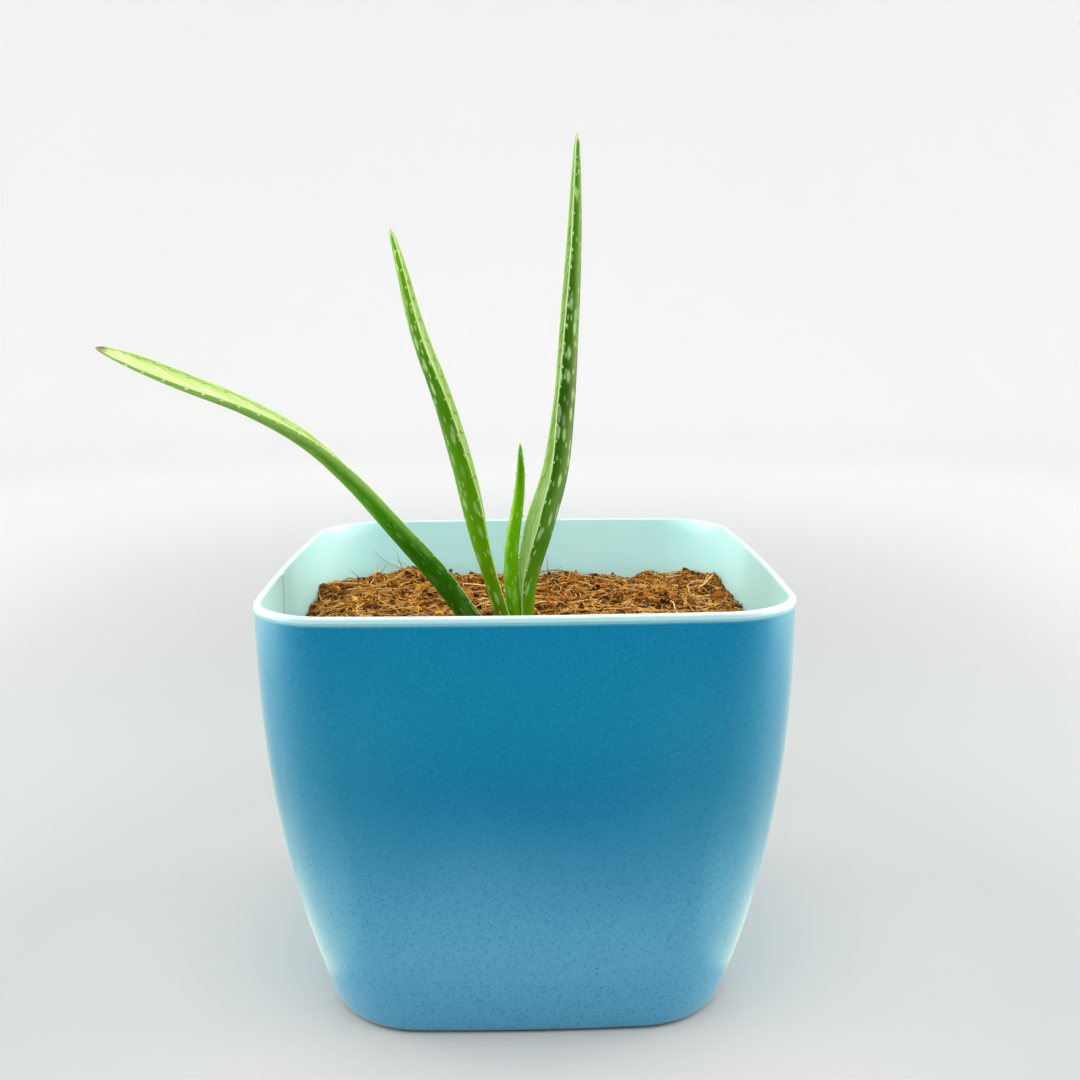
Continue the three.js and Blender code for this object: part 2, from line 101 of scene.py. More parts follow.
# Leaves from left to right, as in the part. A route runs from the root to the tip and starts
# from the plant's place, and a face points where the channel looks, at even steps.
LEAVES = [
    {
        "name": "leaf_left",
        "width": 12.5,
        "folds": [0.5, 0.5, 0.47, 0.33, 0.36],
        "tip_power": 9,
        "tip_sharpness": 0.62,
        "neck": 1.02,
        "swell": (0.05, 0.3),
        "route": [
            (-7.5, -2.5, -10.4), (-12.9, -4.6, -1.7), (-20.3, -8, 8.5),
            (-29.7, -11.8, 22.9), (-47.5, -18.4, 46.5), (-64.3, -25, 68.2),
            (-78.6, -30.4, 82.4), (-96.9, -37.3, 94.6), (-120.6, -46.4, 106.1),
            (-145.4, -56, 118.5),
        ],
        "face": [
            (0.78, 0.34, 0.53), (0.67, 0.53, 0.52), (0.63, 0.18, 0.76),
            (0.41, -0.19, 0.89), (0.22, -0.62, 0.75),
        ],
    },
    {
        "name": "leaf_middle",
        "width": 13.8,
        "folds": [0.66, 0.62, 0.57, 0.47, 0.44],
        "tip_power": 3,
        "tip_sharpness": 0.5,
        "neck": 0.62,
        "swell": (0.18, 0.4),
        "route": [
            (-4.3, -2.4, -10.6), (-4.5, -2.9, 0.4), (-8.1, -4.7, 15.8),
            (-13.3, -8, 36.1), (-19.6, -11.3, 65.9), (-27.3, -15.7, 95.1),
            (-36.1, -20.7, 122.4), (-42, -24.6, 149.1), (-44.8, -26.1, 160.7),
        ],
        "face": [
            (0.97, 0.22, 0), (1, 0.07, 0), (0.99, -0.06, 0.1),
            (0.98, -0.16, 0.1), (0.98, -0.14, 0.1),
        ],
    },
    {
        "name": "leaf_small",
        "width": 6.5,
        "folds": [0.42, 0.4],
        "tip_power": 2.4,
        "tip_sharpness": 0.5,
        "neck": 0.62,
        "swell": (0.02, 0.33),
        "route": [
            (0, 0, -10.1), (-0.4, 0, 5.3), (-1.6, 0, 17.2),
            (-1.8, 0, 29.6), (-0.8, 0, 40), (1.2, 0, 51.9),
            (2.6, 0, 64.8), (2.7, 0, 77.7),
        ],
        "face": [
            (0.25, 0.95, 0), (0.3, 0.95, 0), (0.3, 0.95, 0),
        ],
    },
    {
        "name": "leaf_right",
        "width": 15.8,
        "folds": [0.7, 0.66, 0.62, 0.61, 0.57],
        "tip_power": 1.5,
        "tip_sharpness": 0.5,
        "neck": 0.48,
        "swell": (0.02, 0.28),
        "route": [
            (4.3, 2.6, -10.6), (4.9, 2.8, 0.3), (5.4, 3.9, 18.6),
            (11.8, 8.2, 42.9), (18, 12.8, 63.7), (21.5, 15.7, 89.5),
            (24, 17.8, 121.9), (26.4, 19.6, 160.5), (27.4, 20.4, 201.6),
        ],
        "face": [
            (-0.99, -0.15, 0), (-0.92, -0.39, 0), (-0.99, -0.1, 0),
            (-0.98, -0.21, 0), (-0.97, -0.24, 0),
        ],
    },
]


def mix(a, b, t):
    return a + (b - a) * t


def smoothstep(t, low, high):
    u = np.clip((t - low) / (high - low), 0, 1)
    return u * u * (3 - 2 * u)


# Seeded random numbers between 0 and 1, the same as the part's
def random_from(seed):
    state = seed
    while True:
        state = (state * 1664525 + 1013904223) % 2**32
        yield state / 2**32


# Smooth random field over points (n, d) with features of the given size
def value_noise(points, size, seed):
    p = np.asarray(points, float) / size
    cell = np.floor(p).astype(np.int64)
    part = p - cell
    part = part * part * (3 - 2 * part)
    total = np.zeros(len(p))
    for corner in range(2 ** p.shape[1]):
        weight = np.ones(len(p))
        mixed = np.full(len(p), seed * 1013, dtype=np.uint64)
        for axis in range(p.shape[1]):
            bit = (corner >> axis) & 1
            weight *= part[:, axis] if bit else 1 - part[:, axis]
            mixed ^= ((cell[:, axis] + bit) & 0xFFFFFF).astype(np.uint64)
            mixed = (mixed * np.uint64(2654435761)) & np.uint64(0xFFFFFFFF)
            mixed ^= mixed >> np.uint64(15)
        mixed = (mixed * np.uint64(2246822519)) & np.uint64(0xFFFFFFFF)
        total += weight * (mixed >> np.uint64(8)).astype(float) / 2**24
    return 2 * total - 1


def add_object(name, data):
    made = bpy.data.objects.new(name, data)
    bpy.context.scene.collection.objects.link(made)
    return made


# Mesh from points in millimetres, riding on the root body
def make_piece(name, points, faces, materials, smooth=True, face_material=None):
    mesh = bpy.data.meshes.new(name)
    if isinstance(faces, np.ndarray):
        faces = faces.tolist()
    mesh.from_pydata((np.asarray(points) * MM).tolist(), [], faces)
    for material in materials:
        mesh.materials.append(material)
    if face_material is not None:
        mesh.polygons.foreach_set("material_index", np.asarray(face_material, np.int32))
    mesh.polygons.foreach_set("use_smooth", np.full(len(mesh.polygons), smooth))
    mesh.update()
    piece = add_object(name, mesh)
    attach(piece, "root")
    return piece


def add_attribute(piece, name, values, kind="FLOAT"):
    attribute = piece.data.attributes.new(name, kind, "POINT")
    field = "value" if kind == "FLOAT" else "vector"
    attribute.data.foreach_set(field, np.asarray(values, np.float32).ravel())


# Quads between rings of equal counts: ring r, point i is r * count + i
def ring_quads(rings, count):
    r = np.arange(rings - 1)[:, None] * count
    i = np.arange(count)[None, :]
    j = (i + 1) % count
    return np.stack([r + i, r + j, r + count + j, r + count + i], -1).reshape(-1, 4)


# Node materials


class Nodes:
    """Short calls for building one node material."""

    def __init__(self, name):
        self.material = bpy.data.materials.new(name)
        self.material.use_nodes = True
        self.tree = self.material.node_tree
        self.shader = self.tree.nodes["Principled BSDF"]

    def add(self, kind, inputs=None, **settings):
        node = self.tree.nodes.new("ShaderNode" + kind)
        for key, value in settings.items():
            setattr(node, key, value)
        for key, value in (inputs or {}).items():
            self.put(node.inputs[key], value)
        return node

    def put(self, socket, value):
        if isinstance(value, bpy.types.NodeSocket):
            self.tree.links.new(value, socket)
        elif isinstance(value, (tuple, list)) and len(value) == 3 and socket.type == "RGBA":
            socket.default_value = (*value, 1)
        else:
            socket.default_value = value

    def math(self, operation, a, b=0.0, clamp=False):
        node = self.add("Math", operation=operation, use_clamp=clamp)
        self.put(node.inputs[0], a)
        self.put(node.inputs[1], b)
        return node.outputs[0]

    def times(self, a, b):
        return self.math("MULTIPLY", a, b)

    def plus(self, a, b):
        return self.math("ADD", a, b)

    def sway(self, value, noise, amount):
        return self.plus(value, self.times(self.math("SUBTRACT", noise, 0.5), amount))

    def blend(self, share, a, b):
        node = self.add("Mix", data_type="RGBA")
        self.put(node.inputs[0], share)
        self.put(node.inputs[6], a)
        self.put(node.inputs[7], b)
        return node.outputs[2]

    def step(self, value, low, high):
        node = self.add("MapRange", interpolation_type="SMOOTHSTEP")
        self.put(node.inputs["Value"], value)
        self.put(node.inputs["From Min"], low)
        self.put(node.inputs["From Max"], high)
        return node.outputs[0]

    def ramp(self, value, stops):
        node = self.add("ValToRGB", {"Fac": value})
        elements = node.color_ramp.elements
        while len(elements) < len(stops):
            elements.new(0.5)
        for element, (spot, colour) in zip(elements, stops):
            element.position = spot
            element.color = (*colour, 1)
        return node.outputs["Color"]

    def near(self, place, point, reach):
        node = self.add("VectorMath", operation="DISTANCE")
        self.put(node.inputs[0], place)
        node.inputs[1].default_value = [v * MM for v in point]
        return self.step(node.outputs["Value"], reach * MM, reach * MM * 0.4)

    def place(self):
        return self.add("TexCoord").outputs["Object"]

    def scaled(self, vector, scale):
        node = self.add("VectorMath", operation="MULTIPLY")
        self.put(node.inputs[0], vector)
        node.inputs[1].default_value = scale
        return node.outputs[0]

    def noise(self, vector, scale, detail=3.0, roughness=0.55):
        settings = {"Vector": vector, "Scale": scale, "Detail": detail, "Roughness": roughness}
        return self.add("TexNoise", settings).outputs["Fac"]

    def split(self, vector):
        return self.add("SeparateXYZ", {"Vector": vector}).outputs

    def bump(self, height, strength, distance):
        node = self.add("Bump", {"Height": height, "Strength": strength, "Distance": distance})
        self.put(self.shader.inputs["Normal"], node.outputs[0])

    def set(self, **inputs):
        for key, value in inputs.items():
            self.put(self.shader.inputs[key.replace("_", " ")], value)


def srgb(r, g, b):
    def linear(c):
        c /= 255
        return c / 12.92 if c <= 0.04045 else ((c + 0.055) / 1.055) ** 2.4

    return (linear(r), linear(g), linear(b))


# Heights in metres of places given in millimetres below the rim or above the soil
def below_rim(depth):
    return (POT_HEIGHT - depth) * MM


def above_soil(height):
    return (SOIL_LEVEL + height) * MM


# Dark specks in the front wall: x, height and radius
SPECKS = [(-59.5, 34, 0.8), (25, 31, 0.7), (-42, 131, 0.5), (61, 96, 0.45), (-14, 12, 0.5)]


def plastic_outside():
    m = Nodes("plastic_outside")
    place = m.place()
    height = m.split(place)["Z"]
    cloud = m.noise(place, 14, 2)
    # Painted reflection: the lower wall is painted lighter, fading in below a wavy line near 112 mm up,
    # as where it reflects the bright table close by.
    wavy = m.sway(height, cloud, 0.03)
    painted_table_reflection = m.step(wavy, 0.112, 0.03)
    wall = m.blend(painted_table_reflection, srgb(0, 120, 165), srgb(90, 169, 207))
    grain = m.noise(place, 1300, 2, 0.6)
    blotch = m.noise(place, 800, 3, 0.6)
    wall = m.blend(m.times(m.step(grain, 0.5, 0.7), 0.5), wall, srgb(24, 146, 182))
    wall = m.blend(m.times(m.step(blotch, 0.5, 0.68), 0.36), wall, srgb(0, 96, 138))
    for x, z, reach in SPECKS:
        spot = m.near(place, (x, -wall_half(z), z), reach)
        wall = m.blend(m.times(spot, 0.8), wall, srgb(10, 40, 50))
    foot = m.sway(height, grain, 0.0004)
    wall = m.blend(m.step(foot, below_rim(3.8), below_rim(2.3)), wall, srgb(112, 176, 200))
    m.set(Base_Color=wall, Specular_IOR_Level=0.6, Specular_Tint=(0.35, 0.8, 1.0, 1.0),
          Sheen_Weight=0.4, Sheen_Roughness=0.25, Sheen_Tint=srgb(255, 252, 210))
    m.set(Roughness=m.plus(0.3, m.times(m.noise(place, 60, 3), 0.08)))
    m.bump(m.plus(grain, m.times(blotch, 0.6)), 0.3, 0.0001)
    return m.material


def plastic_lip():
    m = Nodes("plastic_lip")
    place = m.place()
    cloud = m.noise(place, 90, 3)
    colour = m.blend(m.step(cloud, 0.35, 0.7), srgb(214, 236, 238), srgb(194, 226, 231))
    height = m.split(place)["Z"]
    wavy = m.sway(height, cloud, 0.0005)
    colour = m.blend(m.step(wavy, below_rim(0.6), below_rim(1.2)), colour, srgb(190, 230, 236))
    # Painted shade: towards its lower edge, where it meets the wall, the lip is painted grey-blue.
    colour = m.blend(m.step(wavy, below_rim(1.5), below_rim(2.5)), colour, srgb(130, 190, 208))
    m.set(Base_Color=colour, Specular_IOR_Level=0.5, Coat_Weight=0.3, Coat_Roughness=0.2)
    m.set(Roughness=m.plus(0.24, m.times(cloud, 0.2)))
    m.bump(m.noise(place, 500, 3), 0.25, 0.0001)
    return m.material


def plastic_inside():
    m = Nodes("plastic_inside")
    place = m.place()
    cloud = m.noise(place, 22, 3)
    # Painted light: the inner side is the same plastic as the deep blue outer wall, painted pale mint
    # as if brightly lit.
    colour = m.blend(m.step(cloud, 0.3, 0.72), srgb(196, 250, 252), srgb(206, 253, 254))
    streak = m.noise(m.scaled(place, (420, 420, 30)), 1, 3)
    colour = m.blend(m.times(m.step(streak, 0.62, 0.8), 0.15), colour, srgb(150, 204, 196))
    spot = m.split(place)
    height = m.plus(spot["Z"], m.times(cloud, 0.006))
    # The wall is darker and greener just above the coir.
    near_coir = m.step(height, above_soil(11.9), above_soil(2.9))
    colour = m.blend(m.times(near_coir, 0.2), colour, srgb(180, 216, 206))
    # Painted shade: a dark vertical band on the left inner wall, along the moulding flaw.
    left = m.step(spot["X"], -0.08, -0.09)
    off = m.math("ABSOLUTE", m.math("SUBTRACT", spot["Y"], FLAW_Y * MM))
    flaw_shade = m.times(m.times(m.step(off, 0.0035, 0.0008), left), 0.35)
    colour = m.blend(flaw_shade, colour, srgb(112, 160, 158))
    m.set(Base_Color=colour, Specular_IOR_Level=0.45, Roughness=m.plus(0.34, m.times(cloud, 0.2)))
    m.bump(m.noise(place, 260, 2), 0.12, 0.0001)
    return m.material


# Skin of a leaf, read from attributes of its mesh: "skin" is the way round and the way along
# in metres, "flank" is 1 on the channel and 0 on the back, "away" is how far a point is from
# the nearest margin in millimetres, and "along" is the share of the leaf's length.
def leaf_skin(name, looks):
    m = Nodes(name)
    place = m.add("Attribute", attribute_name="skin").outputs["Vector"]
    flank = m.add("Attribute", attribute_name="flank").outputs["Fac"]
    away = m.add("Attribute", attribute_name="away").outputs["Fac"]
    along = m.add("Attribute", attribute_name="along").outputs["Fac"]
    streak = m.noise(m.scaled(place, (1400, 55, 1)), 1, 4, 0.65)
    cloud = m.noise(m.scaled(place, (160, 28, 1)), 1, 3)
    fine = m.noise(m.scaled(place, (2600, 700, 1)), 1, 2)

    tone = m.ramp(along, looks["tones"])
    back = m.blend(m.times(m.step(cloud, 0.38, 0.66), 0.45), tone, looks["mid"])
    back = m.blend(m.times(m.step(streak, 0.5, 0.8), 0.3), back, looks["glow"])
    # Painted light: the back is painted paler in a strip beside the margins, as lit from above.
    painted_light_strip = m.step(m.sway(away, cloud, 1.6), looks["painted_light_strip"], looks["painted_light_strip"] * 0.35)
    if "strip_fade" in looks:
        painted_light_strip = m.times(painted_light_strip, m.step(along, *looks["strip_fade"]))
    back = m.blend(m.times(painted_light_strip, looks["strip_share"]), back, looks["glow"])

    # The channel is painted paler than the back: partly its own colour, partly painted light, as lit
    # through from behind.
    channel = m.blend(m.step(streak, 0.38, 0.66), looks["channel"], looks["channel_pale"])
    colour = m.blend(flank, back, channel)
    for size, seed, low, high, kept, share in (
        ((300, 92, 1), 0.0, 0.36, 0.12, 0.42, looks["spots"]),
        ((520, 190, 1), 7.3, 0.32, 0.14, 0.6, looks["spots"] * 0.8),
    ):
        moved = m.add("VectorMath", operation="ADD")
        m.put(moved.inputs[0], m.scaled(place, size))
        moved.inputs[1].default_value = (seed, seed * 2, 0)
        cells = m.add("TexVoronoi", {"Vector": moved.outputs[0], "Scale": 1.0, "Randomness": 0.9})
        cells.voronoi_dimensions = "2D"
        reach = m.sway(cells.outputs["Distance"], fine, 0.3)
        own = m.split(cells.outputs["Color"])
        chosen = m.step(own["X"], kept, kept + 0.06)
        depth = m.plus(0.45, m.times(own["Y"], 0.55))
        spot = m.times(m.times(m.step(reach, low, high), chosen), depth)
        spot = m.times(spot, m.math("SUBTRACT", 1.0, m.times(flank, 0.7)))
        colour = m.blend(m.times(spot, share), colour, looks["spot"])
    line = m.step(away, 0.75, 0.25)
    colour = m.blend(m.times(line, looks["line"]), colour, srgb(214, 236, 176))
    dry = m.step(m.plus(along, m.times(cloud, 0.01)), 0.982, 0.998)
    colour = m.blend(m.times(dry, 0.85), colour, looks["tip"])
    m.set(Base_Color=colour, Specular_IOR_Level=0.15, Specular_Tint=(0.9, 1.0, 0.4, 1.0),
          Subsurface_Weight=0.12, Subsurface_Scale=0.003, Subsurface_Radius=(0.4, 1.0, 0.2))
    m.set(Roughness=m.plus(0.36, m.times(cloud, 0.2)))
    m.bump(m.plus(streak, m.times(fine, 0.35)), 0.35, 0.0002)
    return m.material


# Colours of each leaf: "tones" along its back, "mid" in clouds and "glow" in streaks and in
# the strip of painted light beside its margins, the channel's two greens, partly painted light,
# the spots and the dry tip
LOOKS = {
    "leaf_left": {
        "tones": [
            (0.12, srgb(26, 84, 4)), (0.3, srgb(44, 116, 2)),
            (0.42, srgb(78, 158, 0)), (0.6, srgb(96, 152, 24)),
        ],
        "mid": srgb(66, 134, 8),
        "glow": srgb(158, 200, 100),
        "channel": srgb(170, 200, 104),
        "channel_pale": srgb(214, 226, 172),
        "spot": srgb(150, 196, 120),
        "tip": srgb(124, 108, 88),
        "painted_light_strip": 4.2,
        "strip_share": 0.85,
        "strip_fade": (0.2, 0.5),
        "spots": 0.35,
        "line": 0.5,
    },
    "leaf_middle": {
        "tones": [
            (0.06, srgb(84, 92, 0)), (0.26, srgb(112, 172, 0)),
            (0.65, srgb(34, 98, 0)), (0.92, srgb(90, 142, 12)),
        ],
        "mid": srgb(92, 156, 0),
        "glow": srgb(146, 190, 50),
        "channel": srgb(164, 194, 110),
        "channel_pale": srgb(196, 216, 158),
        "spot": srgb(190, 220, 150),
        "tip": srgb(190, 190, 150),
        "painted_light_strip": 1.6,
        "strip_share": 0.3,
        "spots": 0.75,
        "line": 0.3,
    },
    "leaf_small": {
        "tones": [
            (0.1, srgb(104, 158, 0)), (0.3, srgb(96, 164, 0)),
            (0.7, srgb(92, 156, 0)), (0.95, srgb(70, 116, 10)),
        ],
        "mid": srgb(120, 184, 0),
        "glow": srgb(140, 190, 50),
        "channel": srgb(130, 184, 50),
        "channel_pale": srgb(160, 204, 90),
        "spot": srgb(190, 216, 140),
        "tip": srgb(140, 124, 96),
        "painted_light_strip": 1.2,
        "strip_share": 0.3,
        "spots": 0.4,
        "line": 0.3,
    },
    "leaf_right": {
        "tones": [
            (0.08, srgb(106, 156, 0)), (0.22, srgb(50, 106, 0)),
            (0.5, srgb(14, 58, 0)), (0.88, srgb(60, 112, 4)),
        ],
        "mid": srgb(48, 104, 0),
        "glow": srgb(112, 154, 54),
        "channel": srgb(140, 176, 88),
        "channel_pale": srgb(186, 208, 154),
        "spot": srgb(182, 214, 150),
        "tip": srgb(190, 190, 150),
        "painted_light_strip": 1.0,
        "strip_share": 0.2,
        "spots": 0.6,
        "line": 0.6,
    },
}


# Coir, darker or lighter by the attribute "tint" of each lump or thread
def coir_skin(name, dark, mid, light):
    m = Nodes(name)
    place = m.place()
    tint = m.add("Attribute", attribute_name="tint").outputs["Fac"]
    fine = m.noise(place, 900, 4, 0.65)
    patch = m.noise(place, 60, 2)
    share = m.sway(m.sway(tint, fine, 0.7), patch, 0.5)
    colour = m.blend(m.step(share, 0.0, 0.45), dark, mid)
    colour = m.blend(m.step(share, 0.45, 1.0), colour, light)
    m.set(Base_Color=colour, Specular_IOR_Level=0.25, Roughness=m.plus(0.75, m.times(fine, 0.2)))
    m.bump(m.noise(place, 1600, 3, 0.7), 0.6, 0.0003)
    return m.material


def stem_skin():
    m = Nodes("stem_skin")
    place = m.place()
    band = m.noise(m.scaled(place, (80, 80, 500)), 1, 3)
    colour = m.blend(m.step(band, 0.35, 0.7), srgb(150, 128, 88), srgb(196, 180, 138))
    m.set(Base_Color=colour, Roughness=m.plus(0.6, m.times(band, 0.3)))
    m.bump(band, 0.5, 0.0004)
    return m.material


# Floor with painted shade: grey close round the planter, darkest in a ring just beyond it and fading to
# pale outwards, then painted lighter still where it bends up into the backdrop.
def floor_painted_shade():
    m = Nodes("studio_floor")
    place = m.place()
    cloud = m.noise(place, 3, 3)
    radius = m.add("VectorMath", {0: place}, operation="LENGTH").outputs["Value"]
    colour = m.blend(cloud, srgb(191, 189, 187), srgb(194, 192, 189))
    colour = m.blend(m.step(radius, 0.12, 0.24), colour, srgb(177, 180, 181))
    colour = m.blend(m.step(radius, 0.4, 1.75), colour, srgb(249, 249, 250))
    colour = m.blend(m.step(radius, 1.75, 2.6), colour, srgb(254, 254, 254))
    m.set(Base_Color=colour, Roughness=0.8, Specular_IOR_Level=0.1)
    return m.material


# Planter


def wall_half(z):
    t = z / POT_HEIGHT
    u = 1 - t
    top = RIM_HALF - LIP_PROUD
    low = 3 * u * u * t * LOW_FULLNESS
    high = 3 * u * t * t * HIGH_FULLNESS
    return u**3 * BASE_HALF + low + high + t**3 * top


def corner_at(z):
    return mix(BASE_CORNER, RIM_CORNER, z / POT_HEIGHT)


SIDE_POINTS = 60
CORNER_POINTS = 34
RING_POINTS = 4 * (SIDE_POINTS + CORNER_POINTS)


# Square with round corners and bowed sides, anticlockwise, as (x, y) rows
def square_ring(half, corner):
    straight = half - SIDE_BOW
    reach = straight - corner
    along = np.linspace(-reach, reach, SIDE_POINTS, endpoint=False)
    side = np.stack([np.full(SIDE_POINTS, straight), along], 1)
    a = np.linspace(0, math.pi / 2, CORNER_POINTS, endpoint=False)
    bend = np.stack([reach + corner * np.cos(a), reach + corner * np.sin(a)], 1)
    quarter = np.concatenate([side, bend])
    turns = [(1, 0), (0, 1), (-1, 0), (0, -1)]
    ring = np.concatenate([quarter @ np.array([[c, s], [-s, c]]) for c, s in turns])
    x, y = ring[:, 0], ring[:, 1]
    bow_x = SIDE_BOW * x * (1 - (y / straight) ** 2) / straight
    bow_y = SIDE_BOW * y * (1 - (x / straight) ** 2) / straight
    return np.stack([x + bow_x, y + bow_y], 1)


def wall_ring(z, inset):
    return square_ring(wall_half(z) - inset, corner_at(z) - inset * 0.6)


def level(ring, z):
    return np.column_stack([ring, np.broadcast_to(z, len(ring))])


# A moulding flaw on the left: the rim dips and the wall's inner side steps in a little
def add_flaw(points):
    flaw = np.exp(-((points[:, 1] - FLAW_Y) / FLAW_WIDTH) ** 2) * (points[:, 0] < -80)
    flaw *= smoothstep(points[:, 2], POT_HEIGHT - FLAW_DEPTH, POT_HEIGHT - 4)
    inner_side = np.abs(points[:, 0]) < wall_half(points[:, 2]) - WALL + 0.6
    points[:, 0] += 0.45 * flaw * inner_side
    points[:, 2] -= 0.4 * flaw * (points[:, 2] > POT_HEIGHT - 1.3)


# Materials of the planter's faces, by their order on the mesh
OUTSIDE, LIP, INSIDE = 0, 1, 2


# The planter as rings from the middle of its underside, over the lip and down to the floor
def build_pot(materials):
    rings = []
    kinds = []

    def add(ring, z, kind):
        rings.append(level(ring, z))
        kinds.append(kind)

    foot_inner = BASE_HALF - EDGE_ROUND - FOOT_WIDTH
    foot_corner = BASE_CORNER - EDGE_ROUND - FOOT_WIDTH
    circle = square_ring(PAD_RADIUS, PAD_RADIUS - SIDE_BOW)
    circle *= (PAD_RADIUS / np.hypot(circle[:, 0], circle[:, 1]))[:, None]
    for share in (0.05, 0.5, 0.97):
        add(circle * share, 0, OUTSIDE)
    add(circle, 0.06, OUTSIDE)
    add(circle * 1.03, RECESS, OUTSIDE)
    wide = square_ring(foot_inner - RECESS, foot_corner)
    for share in (0.25, 0.5, 0.75, 1):
        add(mix(circle * 1.06, wide, share), RECESS, OUTSIDE)
    add(square_ring(foot_inner - 0.2, foot_corner), 0.2, OUTSIDE)
    add(square_ring(foot_inner + 0.1, foot_corner), 0, OUTSIDE)
    add(square_ring(foot_inner + FOOT_WIDTH * 0.5, foot_corner + 4), 0, OUTSIDE)
    for a in np.linspace(0, math.pi / 2, 9)[:-1]:
        z = EDGE_ROUND * (1 - math.cos(a))
        add(wall_ring(z, EDGE_ROUND * (1 - math.sin(a))), z, OUTSIDE)
    lip_foot = POT_HEIGHT - LIP_HEIGHT
    for z in np.linspace(EDGE_ROUND, lip_foot - 1.4, 46):
        add(wall_ring(z, 0), z, OUTSIDE)

    # The lip's lower edge is ragged where the two colours of plastic meet
    around = wall_ring(lip_foot, 0)
    ragged = 0.10 * value_noise(around, 9, 3) + 0.12 * value_noise(around, 2.6, 4)
    flash = smoothstep(value_noise(around, 26, 5), 0.15, 0.6)
    ragged = ragged * (0.25 + flash)
    add(wall_ring(lip_foot, 0), lip_foot - 0.5 + ragged, OUTSIDE)
    add(wall_ring(lip_foot, -0.02), lip_foot + 0.02 + ragged, LIP)
    for a in np.linspace(0.35, 1, 3):
        half = mix(wall_half(lip_foot), RIM_HALF, math.sin(a * math.pi / 2))
        add(square_ring(half, RIM_CORNER), lip_foot + 0.1 + 0.3 * a + ragged * (1 - a), LIP)
    add(square_ring(RIM_HALF, RIM_CORNER), POT_HEIGHT - LIP_ROUND - 0.35, LIP)
    for a in np.linspace(0, math.pi / 2, 6):
        inset = LIP_ROUND * (1 - math.cos(a))
        add(square_ring(RIM_HALF - inset, RIM_CORNER - inset),
            POT_HEIGHT - LIP_ROUND * (1 - math.sin(a)), LIP)
    inner = LIP_PROUD + WALL
    for a in np.linspace(0, math.pi / 2, 5):
        inset = inner - 0.4 * (1 - math.sin(a))
        add(square_ring(RIM_HALF - inset, RIM_CORNER - inset),
            POT_HEIGHT - 0.4 * (1 - math.cos(a)), LIP if a < 1.2 else INSIDE)
    for z in np.linspace(POT_HEIGHT - 1.2, FLOOR + 4, 30):
        add(wall_ring(z, WALL), z, INSIDE)
    for a in np.linspace(0.3, math.pi / 2, 4):
        inset = WALL + 4 * (1 - math.cos(a))
        add(wall_ring(FLOOR + 4, inset), FLOOR + 4 * (1 - math.sin(a)), INSIDE)
    last = wall_ring(FLOOR, WALL + 4)
    for share in (0.75, 0.5, 0.25, 0.05):
        add(last * share, FLOOR, INSIDE)

    count = RING_POINTS
    points = np.concatenate(rings + [[[0, 0, 0]], [[0, 0, FLOOR]]])
    add_flaw(points)
    quads = ring_quads(len(rings), count)
    face_kinds = np.repeat(kinds[1:], count)
    i = np.arange(count)
    j = (i + 1) % count
    first, final = len(points) - 2, len(points) - 1
    top = (len(rings) - 1) * count
    faces = quads.tolist()
    faces += np.stack([np.full(count, first), j, i], 1).tolist()
    faces += np.stack([np.full(count, final), top + i, top + j], 1).tolist()
    face_kinds = np.concatenate([face_kinds, np.full(count, OUTSIDE), np.full(count, INSIDE)])
    pot = make_piece("planter", points, faces, materials, face_material=face_kinds)
    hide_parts("pot")
    drill_holes(pot)


HOLE_SIDES = 40


# Drain holes, cut with one closed cutter per hole
def drill_holes(pot):
    for x, y in ((1, 0), (0, 1), (-1, 0), (0, -1)):
        a = np.linspace(0, 2 * math.pi, HOLE_SIDES, endpoint=False)
        circle = DRAIN_RADIUS * np.stack([np.cos(a), np.sin(a)], 1)
        ring = circle + DRAIN_RING * np.array([x, y])
        points = np.concatenate([level(ring, -2), level(ring, FLOOR + 2)]) * MM
        ends = [list(range(HOLE_SIDES))[::-1], list(range(HOLE_SIDES, 2 * HOLE_SIDES))]
        faces = ring_quads(2, HOLE_SIDES).tolist() + ends
        mesh = bpy.data.meshes.new("cutter")
        mesh.from_pydata(points.tolist(), [], faces)
        cutter = add_object("cutter", mesh)
        cut = pot.modifiers.new("drain", "BOOLEAN")
        cut.operation = "DIFFERENCE"
        cut.solver = "EXACT"
        cut.object = cutter
        apply_modifiers(pot)
        bpy.data.objects.remove(cutter)
        bpy.data.meshes.remove(mesh)


def apply_modifiers(piece):
    bpy.context.view_layer.update()
    graph = bpy.context.evaluated_depsgraph_get()
    final = bpy.data.meshes.new_from_object(piece.evaluated_get(graph))
    old = piece.data
    piece.modifiers.clear()
    piece.data = final
    bpy.data.meshes.remove(old)
    final.name = piece.name


# Leaves


